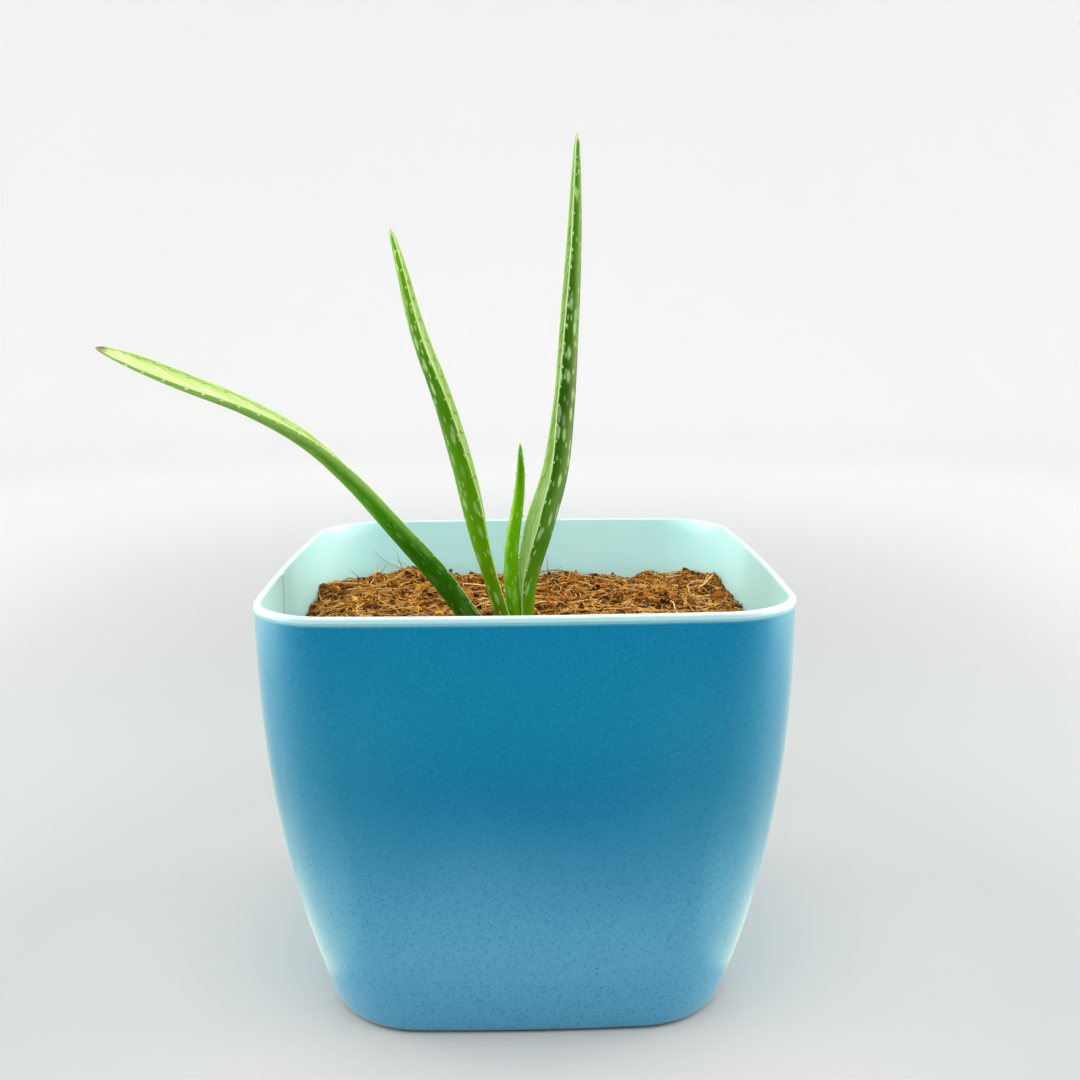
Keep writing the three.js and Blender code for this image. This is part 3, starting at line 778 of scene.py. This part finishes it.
# The part's smooth curve through a route's points, as points and tangents at equal steps
class Route:
    DIVISIONS = 200

    def __init__(self, points):
        self.points = np.array(points, float)
        samples = [self.at(k / self.DIVISIONS) for k in range(self.DIVISIONS + 1)]
        steps = np.linalg.norm(np.diff(samples, axis=0), axis=1)
        self.lengths = np.concatenate([[0], np.cumsum(steps)])
        self.length = self.lengths[-1]

    def at(self, t):
        p = self.points
        last = len(p) - 1
        k = min(int(t * last), last - 1)
        w = t * last - k
        before = p[k - 1] if k > 0 else 2 * p[0] - p[1]
        after = p[k + 2] if k + 2 <= last else 2 * p[last] - p[last - 1]
        a, b = p[k], p[k + 1]
        gaps = [((q - r) ** 2).sum() ** 0.25 for q, r in ((before, a), (a, b), (b, after))]
        d0, d1, d2 = gaps
        lead = ((a - before) / d0 - (b - before) / (d0 + d1) + (b - a) / d1) * d1
        trail = ((b - a) / d1 - (after - a) / (d1 + d2) + (after - b) / d2) * d1
        square = -3 * a + 3 * b - 2 * lead - trail
        cube = 2 * a - 2 * b + lead + trail
        return a + lead * w + square * w * w + cube * w**3

    def even(self, share):
        target = share * self.length
        return self.at(np.interp(target, self.lengths, np.linspace(0, 1, self.DIVISIONS + 1)))

    def way(self, share):
        low, high = max(0, share - 1e-3), min(1, share + 1e-3)
        step = self.even(high) - self.even(low)
        return step / np.linalg.norm(step)


# Value at a share t of an evenly spaced list
def between(values, t):
    values = np.array(values, float)
    spot = t * (len(values) - 1)
    k = min(int(spot), len(values) - 2)
    return mix(values[k], values[k + 1], spot - k)


def leaf_frame(leaf, route, t):
    along = route.way(t)
    look = between(leaf["face"], t)
    look = look - along * look.dot(along)
    look /= np.linalg.norm(look)
    neck = mix(leaf["neck"], 1, smoothstep(t, *leaf["swell"]))
    width = leaf["width"] * neck * (1 - t ** leaf["tip_power"]) ** leaf["tip_sharpness"]
    return {
        "at": route.even(t),
        "along": along,
        "look": look,
        "across": np.cross(look, along),
        "width": width,
        "depth": width * between(leaf["folds"], t),
    }


BACK_STEPS = 22
EDGE_STEPS = 4
FACE_STEPS = 14
STATIONS = 170


# Section of a leaf with its round back, rolled margins and channel. Returns the points and,
# for each, the way round, whether it is on the channel, and how near a margin it is.
def leaf_section(frame_here):
    half = frame_here["width"] / 2
    deep = frame_here["depth"]
    hollow = deep - max(deep * FLESH, min(1.6, deep * 0.8))
    edge = min(MARGIN, half * 0.5)
    back = np.pi * (1 + np.linspace(0, 1, BACK_STEPS + 1))
    outline = [np.stack([half * np.cos(back), deep * np.sin(back)], 1)]
    roll = np.linspace(0, np.pi, EDGE_STEPS + 2)[1:-1]
    outline.append(np.stack([half - edge / 2 + edge / 2 * np.cos(roll), edge / 2 * np.sin(roll)], 1))
    face = np.pi * (2 - np.linspace(0, 1, FACE_STEPS + 1))
    outline.append(np.stack([(half - edge) * np.cos(face), hollow * np.sin(face)], 1))
    outline.append(outline[1][::-1] * [-1, 1])
    flat = np.concatenate(outline)
    flank = np.concatenate([np.zeros(BACK_STEPS + 1), np.full(EDGE_STEPS, 0.5),
                            np.ones(FACE_STEPS + 1), np.full(EDGE_STEPS, 0.5)])
    loop = np.vstack([flat, flat[:1]])
    around = np.concatenate([[0], np.cumsum(np.linalg.norm(np.diff(loop, axis=0), axis=1))])
    right, left = around[BACK_STEPS + EDGE_STEPS // 2 + 1], around[len(flat) - EDGE_STEPS // 2]
    turned = around[:-1]
    nearest = np.minimum(np.abs(turned - right), np.abs(turned - left))
    away = np.minimum(nearest, turned + around[-1] - left)
    lifted = flat + [0, deep / 2]
    points = (frame_here["at"] + lifted[:, :1] * frame_here["across"]
              + lifted[:, 1:] * frame_here["look"])
    return points, turned - turned[BACK_STEPS // 2], flank, away


# Hooked tooth on a margin: a bent cone with its root sunk in the leaf
def tooth(frame_here, side, size):
    sides, rows = 6, 5
    way = side * frame_here["across"] + 0.4 * frame_here["along"] + 0.25 * frame_here["look"]
    way /= np.linalg.norm(way)
    root = (frame_here["at"] + side * frame_here["width"] / 2 * frame_here["across"]
            + (frame_here["depth"] / 2 - 0.35) * frame_here["look"] - way * TOOTH_SUNK)
    length = TOOTH_LENGTH * size + TOOTH_SUNK
    radius = TOOTH_RADIUS * mix(size, 1, 0.4)
    u = frame_here["along"] - way * frame_here["along"].dot(way)
    u /= np.linalg.norm(u)
    v = np.cross(way, u)
    a = np.linspace(0, 2 * np.pi, sides, endpoint=False)
    points = []
    for row in range(rows):
        share = row / rows
        here = radius * (1 - share) ** 0.85
        middle = root + way * length * share + u * 0.35 * size * share**2
        flare = 1.5 - 0.5 * share
        ring = here * flare * np.cos(a)[:, None] * u + here * 0.8 * np.sin(a)[:, None] * v
        points.append(middle + ring)
    points.append([root + way * length + u * 0.35 * size, root])
    faces = ring_quads(rows, sides).tolist()
    top = (rows - 1) * sides
    tip, base = rows * sides, rows * sides + 1
    for i in range(sides):
        j = (i + 1) % sides
        faces += [[top + i, top + j, tip], [i, base, j]]
    return np.concatenate(points), faces


def build_leaf(leaf, material):
    route = Route(leaf["route"])
    shares = 1 - (1 - np.arange(STATIONS) / STATIONS) ** 1.3
    rings, around, flank, away, along = [], [], [], [], []
    for t in shares:
        points, way_round, side, reach = leaf_section(leaf_frame(leaf, route, t))
        rings.append(points)
        around.append(way_round)
        flank.append(side)
        away.append(reach)
        along.append(np.full(len(points), t))
    count = len(rings[0])
    points = np.concatenate(rings + [[route.even(1)], [rings[0].mean(0)]])
    faces = ring_quads(STATIONS, count).tolist()
    top = (STATIONS - 1) * count
    tip, foot = STATIONS * count, STATIONS * count + 1
    for i in range(count):
        j = (i + 1) % count
        faces += [[top + i, top + j, tip], [i, foot, j]]
    ends = [np.array([0.0, 0.0])]
    around = np.concatenate(around + ends)
    flank = np.concatenate(flank + ends)
    away = np.concatenate(away + ends)
    along = np.concatenate(along + [np.array([1.0, 0.0])])

    random = random_from(len(leaf["name"]) * 977)
    for side in (-1, 1):
        s = FIRST_TOOTH + next(random) * TOOTH_SPACING
        while s < route.length - 4:
            here = leaf_frame(leaf, route, s / route.length)
            size = mix(0.45, 1, min(1, here["width"] / 10)) * mix(0.85, 1.15, next(random))
            more, more_faces = tooth(here, side, size)
            faces += [[k + len(points) for k in face] for face in more_faces]
            points = np.concatenate([points, more])
            fill = np.ones(len(more))
            around = np.concatenate([around, 0 * fill])
            flank = np.concatenate([flank, 0.5 * fill])
            away = np.concatenate([away, 0 * fill])
            along = np.concatenate([along, fill * s / route.length])
            s += TOOTH_SPACING * mix(0.8, 1.2, next(random)) * mix(1, 0.7, s / route.length)

    piece = make_piece("aloe_" + leaf["name"], points + PLANT, faces, [material])
    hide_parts(leaf["name"])
    skin = np.stack([around, along * route.length, 0 * around], 1) * MM
    add_attribute(piece, "skin", skin, "FLOAT_VECTOR")
    add_attribute(piece, "flank", flank)
    add_attribute(piece, "away", away)
    add_attribute(piece, "along", along)


# Coir


def coir_height(x, y):
    slow = 1.6 * np.sin(x / 29 + 0.5) * np.cos(y / 25) + 1.1 * np.sin(x / 12 + y / 15)
    calm = smoothstep(np.hypot(x - PLANT[0], y - PLANT[1]), 8, 30)
    return SOIL_LEVEL + calm * slow


def coir_surface(x, y):
    flat = np.stack([x, y], 1)
    lumps = 1.9 * value_noise(flat, 8, 11) + 1.5 * value_noise(flat, 3.4, 12)
    fine = 0.6 * value_noise(flat, 1.6, 13)
    return coir_height(x, y) + lumps + fine


BED_RINGS = 64


def build_bed(material):
    rings = []
    top = wall_ring(SOIL_LEVEL, WALL + GAP)
    for k in range(1, BED_RINGS + 1):
        ring = top * (k / BED_RINGS) ** 0.8
        rings.append(level(ring, coir_surface(ring[:, 0], ring[:, 1])))
    for z in np.linspace(SOIL_LEVEL - 6, FLOOR + 5, 12):
        rings.append(level(wall_ring(z, WALL + GAP), z))
    rings.append(level(wall_ring(FLOOR + GAP, WALL + 4.4), FLOOR + GAP))
    middle_top = [[0, 0, float(coir_surface(np.zeros(1), np.zeros(1))[0])]]
    points = np.concatenate(rings + [middle_top, [[0, 0, FLOOR + GAP]]])
    count = RING_POINTS
    faces = ring_quads(len(rings), count)[:, ::-1].tolist()
    base = (len(rings) - 1) * count
    first, last = len(points) - 2, len(points) - 1
    for i in range(count):
        j = (i + 1) % count
        faces += [[first, i, j], [base + j, base + i, last]]
    bed = make_piece("coir_bed", points, faces, [material])
    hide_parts("soil")
    add_attribute(bed, "tint", 0.16 + 0.14 * value_noise(points[:, :2], 2.2, 17))


# How far points on the coir are from the planter's wall, and the way to its nearest point
def wall_gap(p):
    straight = wall_half(SOIL_LEVEL) - WALL - SIDE_BOW
    corner = corner_at(SOIL_LEVEL) - WALL * 0.6
    squared = p / (1 + SIDE_BOW * (1 - (p[:, ::-1] / straight) ** 2) / straight)
    beyond = np.abs(squared) - (straight - corner)
    outward = np.maximum(beyond, 0)
    reach = np.hypot(*outward.T)
    flat = beyond.max(1)
    gap = corner - np.where(flat > 0, reach, flat)
    way = np.sign(p) * outward / np.maximum(reach, 1e-6)[:, None]
    return gap, way


# Random places on the coir, clear of the wall and of the leaves' feet
def coir_places(draw, count, margin, clear):
    half = wall_half(SOIL_LEVEL)
    places = np.empty((0, 2))
    while len(places) < count:
        p = draw.uniform(-half, half, (count * 2, 2))
        plant = np.hypot(p[:, 0] - PLANT[0] + 2, p[:, 1] - PLANT[1])
        places = np.concatenate([places, p[(wall_gap(p)[0] > margin) & (plant > clear)]])
    return places[:count]


def spins(draw, count, tilt):
    turn = draw.uniform(0, 2 * np.pi, count)
    a = draw.normal(0, tilt, count)
    b = draw.normal(0, tilt, count)
    matrices = []
    for t, u, v in zip(turn, a, b):
        tilted = Matrix.Rotation(u, 3, "X") @ Matrix.Rotation(v, 3, "Y")
        matrices.append(Matrix.Rotation(t, 3, "Z") @ tilted)
    return np.array([[list(row) for row in m] for m in matrices])


# One piece of many bodies (n, corners, 3), each moved to its middle and with a tint of its own
def scatter(name, material, bodies, middles, sides, tints):
    corners = bodies.shape[1]
    points = (bodies + middles[:, None]).reshape(-1, 3)
    first = corners * np.arange(len(bodies))[:, None, None]
    faces = (sides[None] + first).reshape(-1, sides.shape[1])
    piece = make_piece(name, points, faces, [material], smooth=False)
    add_attribute(piece, "tint", np.repeat(tints, corners))


# Corners of a regular lump with twenty sides, and the sides as outward triangles
def twenty_sides():
    golden = (1 + 5**0.5) / 2
    lump = []
    for a in (-1, 1):
        for b in (-golden, golden):
            lump += [(0, a, b), (a, b, 0), (b, 0, a)]
    lump = np.array(lump) / math.hypot(1, golden)
    hull = []
    for i, j, k in np.ndindex(12, 12, 12):
        if i < j and i < k and j != k:
            n = np.cross(lump[j] - lump[i], lump[k] - lump[i])
            if n.dot(lump[i]) > 0 and all((lump - lump[i]) @ n <= 1e-6):
                hull.append((i, j, k))
    return lump, np.array(hull)


# Crumbs: small closed lumps, each with its own size, spin and dents
def build_crumbs(name, material, draw, count, size, largest):
    lump, hull = twenty_sides()
    places = coir_places(draw, count, 1.6, 4.5)
    sizes = draw.gamma(2.4, size, count).clip(0.22, largest)
    stretch = draw.uniform(0.55, 1.5, (count, 3)) * [1.25, 1, 0.75]
    dents = 1 + draw.uniform(-0.32, 0.25, (count, 12, 1))
    bodies = lump[None] * dents * stretch[:, None] * sizes[:, None, None]
    bodies = np.einsum("nij,nkj->nki", spins(draw, count, 0.6), bodies)
    heights = coir_surface(places[:, 0], places[:, 1]) + sizes * draw.uniform(-0.35, 0.5, count)
    middles = np.column_stack([places, heights])
    scatter(name, material, bodies, middles, hull, draw.normal(0.46, 0.24, count))


# Grains: finer lumps that fill the gaps between the crumbs
def build_grains(material, draw, count):
    axes = [(1, 0, 0), (-1, 0, 0), (0, 1, 0), (0, -1, 0), (0, 0, 1), (0, 0, -1)]
    corners = np.array(axes, float)
    upper = [(0, 2, 4), (2, 1, 4), (1, 3, 4), (3, 0, 4)]
    lower = [(2, 0, 5), (1, 2, 5), (3, 1, 5), (0, 3, 5)]
    sides = np.array(upper + lower)
    places = coir_places(draw, count, 1.2, 4)
    sizes = draw.gamma(3, 0.12, count).clip(0.15, 0.8)
    bodies = corners[None] * draw.uniform(0.5, 1.4, (count, 6, 1)) * sizes[:, None, None]
    bodies = np.einsum("nij,nkj->nki", spins(draw, count, 1.0), bodies)
    heights = coir_surface(places[:, 0], places[:, 1]) + draw.uniform(-0.1, 0.9, count)
    middles = np.column_stack([places, heights])
    scatter("coir_grains", material, bodies, middles, sides, draw.normal(0.5, 0.26, count))


# Chips of husk: flat split blocks, darker than the crumbs
def build_chips(material, draw, count):
    ends = (-0.5, 0.5)
    block = np.array([(x, y, z) for x in ends for y in ends for z in ends])
    across = [(0, 1, 3, 2), (4, 6, 7, 5)]
    around = [(0, 4, 5, 1), (2, 3, 7, 6), (0, 2, 6, 4), (1, 5, 7, 3)]
    sides = np.array(across + around)
    places = coir_places(draw, count, 4, 8)
    spans = ((1.5, 5), (0.9, 2.2), (0.4, 1.2))
    sizes = np.stack([draw.uniform(low, high, count) for low, high in spans], 1)
    bodies = block * (1 + draw.uniform(-0.35, 0.2, (count, 8, 3))) * sizes[:, None]
    bodies = np.einsum("nij,nkj->nki", spins(draw, count, 0.35), bodies)
    heights = coir_surface(places[:, 0], places[:, 1]) + draw.uniform(0, 0.9, count)
    middles = np.column_stack([places, heights])
    scatter("coir_chips", material, bodies, middles, sides, draw.normal(0.3, 0.25, count))


# Fibres: thin bent threads that lie on the coir, some with an end standing up
def build_fibres(name, material, draw, count, steps, shape, scale, longest):
    sides = 3
    places = coir_places(draw, count, 2, 7)
    lengths = draw.gamma(shape, scale, count).clip(1.5, longest)
    turns = draw.uniform(0, 2 * np.pi, count)
    sweeps = draw.normal(0, 0.42, count)
    arch = draw.gamma(1.6, 0.035, count) * lengths
    lift = np.where(draw.random(count) < 0.1, draw.uniform(0.1, 0.5, count), 0) * lengths
    radii = draw.uniform(0.1, 0.18, count) * (1 + lengths / 40)
    all_points = []
    for n in range(count):
        u = np.linspace(-0.5, 0.5, steps + 1)
        heading = turns[n] + sweeps[n] * u * 2 + 0.25 * np.sin(9 * u + n)
        walk = np.stack([np.cos(heading), np.sin(heading)], 1) * lengths[n] / steps
        path = places[n] + np.cumsum(walk, 0) - walk.sum(0) / 2
        gap, way = wall_gap(path)
        path = path - way * np.maximum(0, 0.8 - gap)[:, None]
        rise = 0.5 + arch[n] * (1 - 4 * u * u) * 0.5 + lift[n] * np.clip(u + 0.1, 0, 1) ** 1.5 * 2
        z = coir_surface(path[:, 0], path[:, 1])
        z = np.convolve(np.pad(z, 2, "edge"), np.ones(5) / 5, "valid") + rise
        line = np.column_stack([path, z])
        ahead = np.gradient(line, axis=0)
        ahead /= np.linalg.norm(ahead, axis=1)[:, None]
        across = np.cross(ahead, [0, 0, 1])
        across /= np.linalg.norm(across, axis=1)[:, None]
        over = np.cross(across, ahead)
        taper = radii[n] * (1 - 0.75 * np.abs(u * 2) ** 3)
        ring = [line + taper[:, None] * (np.cos(a) * across + np.sin(a) * over)
                for a in np.arange(sides) * 2 * np.pi / sides]
        all_points.append(np.stack(ring, 1).reshape(-1, 3))
    per = (steps + 1) * sides
    one = ring_quads(steps + 1, sides)
    caps = np.array([[0, 1, 2], [per - 1, per - 2, per - 3]])
    offset = per * np.arange(count)[:, None, None]
    faces = (one[None] + offset).reshape(-1, 4).tolist() + (caps[None] + offset).reshape(-1, 3).tolist()
    fibres = make_piece(name, np.concatenate(all_points), faces, [material])
    add_attribute(fibres, "tint", np.repeat(draw.normal(0.62, 0.3, count), per))


# Studio


def area_light(name, at, aim, size, power, colour=(1, 1, 1)):
    data = bpy.data.lights.new(name, "AREA")
    data.shape = "RECTANGLE"
    data.size, data.size_y = size
    data.energy = power
    data.color = colour
    light = add_object(name, data)
    light.location = at
    light.rotation_euler = (Vector(aim) - Vector(at)).to_track_quat("-Z", "Y").to_euler()
    light.visible_camera = False
    return light


def dark_card(m):
    return m.blend(m.noise(m.place(), 4, 2), (0.012, 0.014, 0.016), (0.03, 0.034, 0.038))


# The table as the planter reflects it, painted on a card seen in reflections only: painted light
# close by, then painted shade, then a teal part that glows though it is no lamp
def table_card(m):
    place = m.place()
    spot = m.split(place)
    aside = m.times(m.math("ABSOLUTE", spot["X"]), 0.25)
    depth = m.plus(m.sway(spot["Y"], m.noise(place, 9, 2), 0.06), aside)
    lit_then_shaded = m.blend(m.step(depth, -0.1, -0.29), (0.9, 0.9, 0.9), (0.01, 0.012, 0.02))
    far_glow = m.step(depth, -0.30, -0.33)
    # Painted reflection: the far part glows teal.
    m.set(Emission_Color=m.blend(far_glow, (0.0, 0.0, 0.0), (0.0, 0.45, 0.24)), Emission_Strength=1)
    return m.blend(far_glow, lit_then_shaded, (0.0, 0.75, 0.35))


# Card out of the camera's sight, for the planter's wall to reflect
def card(name, corners, colour):
    mesh = bpy.data.meshes.new(name)
    mesh.from_pydata(corners, [], [[0, 1, 2, 3]])
    m = Nodes(name)
    m.set(Base_Color=colour(m), Roughness=0.9)
    mesh.materials.append(m.material)
    made = add_object(name, mesh)
    made.visible_camera = False
    return made


FLOOR_REACH = 2.2  # metres of flat floor round the planter
BACKDROP_BEND = 1.2
BACKDROP_HEIGHT = 3.0


# Round floor that bends up into the backdrop
def build_floor():
    count = 96
    a = np.linspace(0, 2 * np.pi, count, endpoint=False)
    circle = np.stack([np.cos(a), np.sin(a)], 1)
    profile = [(0.2, 0), (0.6, 0), (1.4, 0), (FLOOR_REACH, 0)]
    for bend in np.linspace(0.1, math.pi / 2, 12):
        out = FLOOR_REACH + BACKDROP_BEND * math.sin(bend)
        profile.append((out, BACKDROP_BEND * (1 - math.cos(bend))))
    profile.append((FLOOR_REACH + BACKDROP_BEND, BACKDROP_HEIGHT))
    points = np.concatenate([level(circle * r, z) for r, z in profile] + [[[0, 0, 0]]])
    faces = ring_quads(len(profile), count)[:, ::-1].tolist()
    faces += [[len(points) - 1, i, (i + 1) % count] for i in range(count)]
    mesh = bpy.data.meshes.new("studio_floor")
    mesh.from_pydata(points.tolist(), [], faces)
    mesh.materials.append(floor_painted_shade())
    mesh.polygons.foreach_set("use_smooth", np.full(len(mesh.polygons), True))
    add_object("studio_floor", mesh)


def build_world():
    world = bpy.data.worlds.new("studio")
    world.use_nodes = True
    background = world.node_tree.nodes["Background"]
    background.inputs["Color"].default_value = (1, 1, 1, 1)
    background.inputs["Strength"].default_value = 0.89
    bpy.context.scene.world = world
    bpy.context.scene.view_settings.view_transform = "Standard"


WARM = (1, 0.98, 0.9)
GOLDEN = (1, 0.98, 0.6)
AMBER = (1, 0.82, 0.3)
COOL = (0.97, 1, 1.04)


# Soft lights at both sides, above and in front. The sheen of the planter's sides has lights
# of its own, two beside it and four low over the table, that show in reflections only.
def build_lights():
    for side in (-1, 1):
        soft = area_light("side", (side * 1.15, 0.1, 0.42), (0, 0, 0.12), (0.9, 0.9), 11, WARM)
        soft.visible_glossy = False
        glow = area_light("edge_glow", (side * 1.15, 0.25, 0.3), (0, 0, 0.1), (1.2, 0.6), 26, GOLDEN)
        glow.visible_diffuse = False
        for depth, power in ((-0.22, 1.3), (0.24, 0.6)):
            spot = (side * 0.44, depth, 0.002)
            pool = area_light("table_glow", spot, (*spot[:2], 1), (0.7, 0.44), power, AMBER)
            pool.visible_diffuse = False
    top = area_light("top", (0, -0.25, 1.4), (0, 0.05, 0.15), (1.2, 0.9), 7)
    top.visible_glossy = False
    fill = area_light("front", (0, -0.88, 0.75), (0, 0, 0.15), (1.7, 1.1), 14, COOL)
    fill.visible_glossy = False


def build_cards():
    half, back, high = 1.3, -0.92, 1.5
    behind = [(-half, back, 0), (half, back, 0), (half, back, high), (-half, back, high)]
    card("card_behind_camera", behind, dark_card)
    z = 0.001
    table = [(-0.2, -0.9, z), (0.2, -0.9, z), (0.15, -0.1, z), (-0.15, -0.1, z)]
    shade = card("card_on_table", table, table_card)
    shade.visible_diffuse = False
    shade.visible_shadow = False


def build_camera():
    data = bpy.data.cameras.new("camera")
    data.sensor_width = SENSOR
    data.lens = FOCAL_PIXELS / PHOTO_SIZE * SENSOR
    camera = add_object("camera", data)
    cp, sp = math.cos(LOOK_DOWN), math.sin(LOOK_DOWN)
    cy, sy = math.cos(LOOK_RIGHT), math.sin(LOOK_RIGHT)
    forward = Vector((cp * sy, cp * cy, -sp))
    right = Vector((cy, -sy, 0))
    up = Vector((sp * sy, sp * cy, cp))
    cr, sr = math.cos(CAMERA_ROLL), math.sin(CAMERA_ROLL)
    turned_right = right * cr + up * sr
    turned_up = up * cr - right * sr
    turn = Matrix((turned_right, turned_up, -forward)).transposed().to_4x4()
    camera.matrix_world = Matrix.Translation(Vector(CAMERA_AT) * MM) @ turn
    bpy.context.scene.camera = camera


build_camera()
build_floor()
build_world()
build_lights()
build_cards()
build_pot([plastic_outside(), plastic_lip(), plastic_inside()])

for leaf in LEAVES:
    build_leaf(leaf, leaf_skin("skin_" + leaf["name"], LOOKS[leaf["name"]]))

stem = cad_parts["stem"]
stem.data.materials.clear()
stem.data.materials.append(stem_skin())

husk = coir_skin("coir_husk", srgb(34, 15, 2), srgb(154, 90, 12), srgb(226, 162, 66))
chip = coir_skin("coir_chip", srgb(16, 8, 5), srgb(74, 42, 18), srgb(160, 104, 46))
straw = coir_skin("coir_straw", srgb(142, 84, 14), srgb(214, 152, 62), srgb(248, 212, 136))
draw = np.random.default_rng(COIR_SEED)
build_bed(husk)
build_crumbs("coir_crumbs", husk, draw, CRUMB_COUNT, 0.25, 1.5)
build_crumbs("coir_clods", husk, draw, CLOD_COUNT, 0.5, 2.5)
build_grains(husk, draw, GRAIN_COUNT)
build_chips(chip, draw, CHIP_COUNT)
build_fibres("coir_fibres", straw, draw, FIBRE_COUNT, 7, 2.4, 5.5, 40)
build_fibres("coir_hairs", straw, draw, HAIR_COUNT, 3, 2.5, 1.3, 9)
